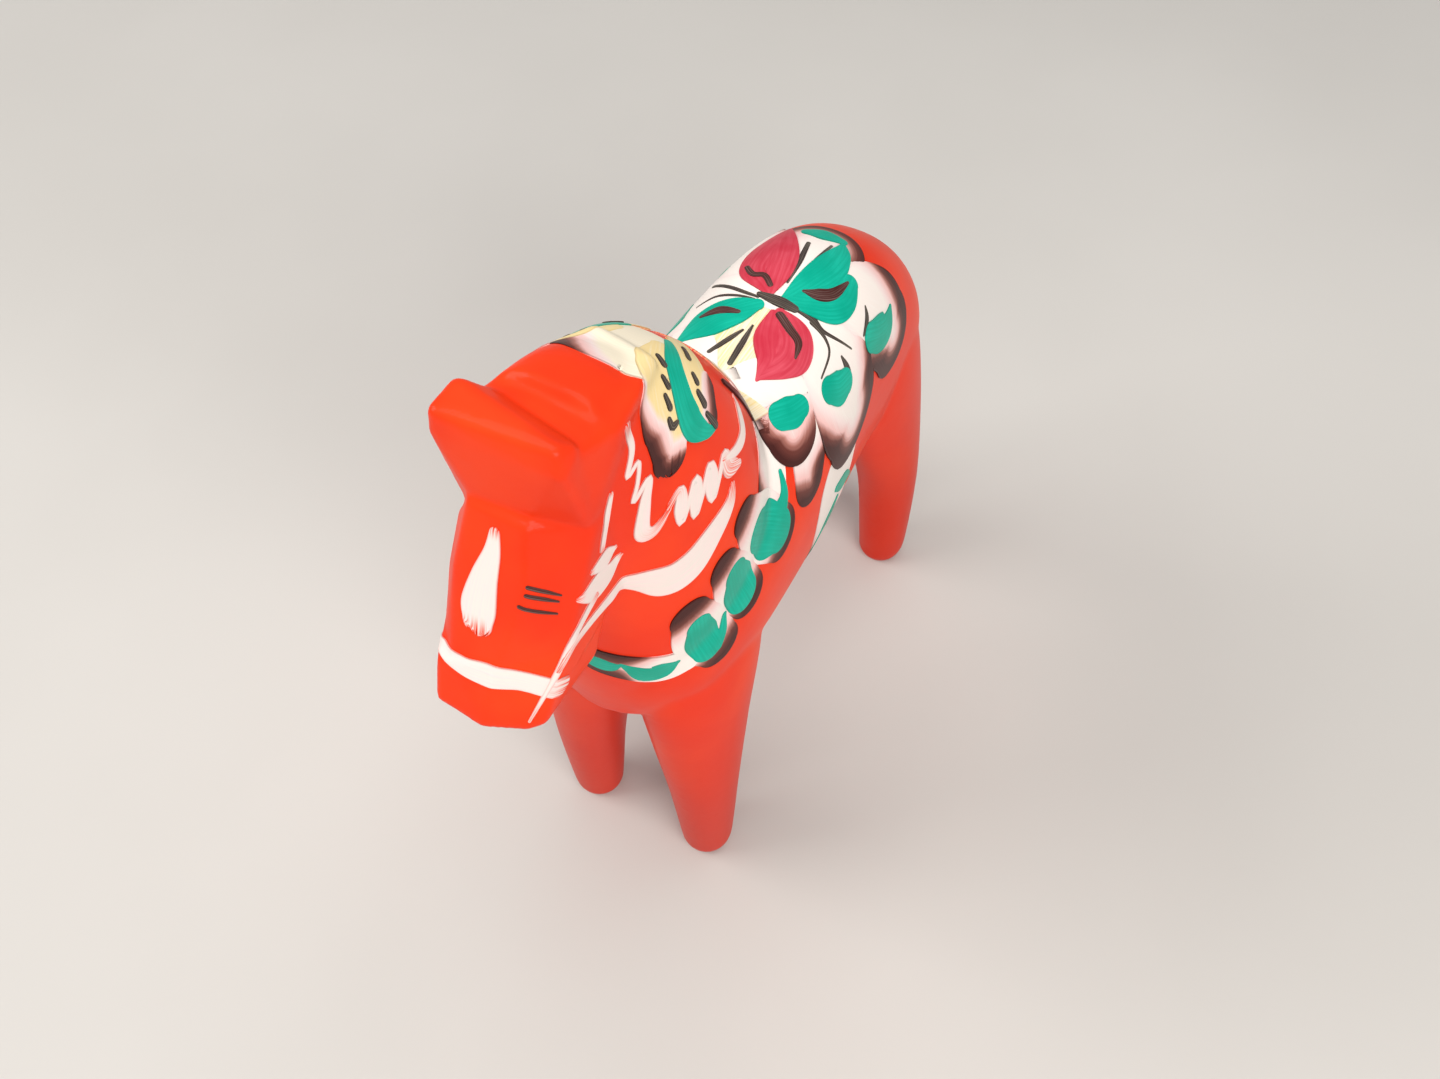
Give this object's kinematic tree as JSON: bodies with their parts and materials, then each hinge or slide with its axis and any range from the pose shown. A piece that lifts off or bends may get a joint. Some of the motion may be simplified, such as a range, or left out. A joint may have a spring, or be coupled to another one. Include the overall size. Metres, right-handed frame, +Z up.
{
  "type": "dala horse",
  "caption": "Carved and painted wooden dala horse standing on straight legs, with bridle, saddle flower, collar and girth painted in brush strokes.",
  "frame": {"origin": "on the ground under the middle of the horse's length and width", "axes": "+X the way the horse looks, +Y its left side, +Z up"},
  "size_m": [0.209, 0.0648, 0.2483],
  "materials": {
    "red_gloss": "pine under gloss orange-red paint and varnish",
    "cream_paint": "brushed cream and white paint under varnish",
    "pink_brown_paint": "two-colour brush strokes from dark brown to pink and white, under varnish",
    "green_paint": "brushed turquoise green paint under varnish",
    "crimson_paint": "brushed crimson paint under varnish",
    "dark_paint": "thin dark grey-brown brush lines under varnish"
  },
  "bodies": {
    "root": {"carved_body": "red_gloss", "blaze": "cream_paint", "noseband": "cream_paint", "eye_dashes_left": "dark_paint", "eye_dashes_right": "dark_paint", "cheek_strap_left": "cream_paint", "cheek_strap_right": "cream_paint", "neck_ripple_left": "cream_paint", "neck_ripple_right": "cream_paint", "mane_tuft_left": "cream_paint", "mane_tuft_right": "cream_paint", "mane_leaf_left": "green_paint", "mane_leaf_right": "green_paint", "mane_dashes_left": "dark_paint", "mane_dashes_right": "dark_paint", "saddle_skirt_left": "pink_brown_paint", "saddle_skirt_right": "pink_brown_paint", "collar_left": "pink_brown_paint", "collar_right": "pink_brown_paint", "collar_beads_left": "green_paint", "collar_beads_right": "green_paint", "girth_left": "cream_paint", "girth_right": "cream_paint", "girth_leaves_left": "green_paint", "girth_leaves_right": "green_paint", "mane_patch": "cream_paint", "saddle_ground": "cream_paint", "saddle_lobes": "pink_brown_paint", "red_petals": "crimson_paint", "green_petals": "green_paint", "petal_shadows": "dark_paint", "flower_heart": "dark_paint", "stamens": "dark_paint", "saddle_drops": "green_paint"}
  },
  "joints": []
}
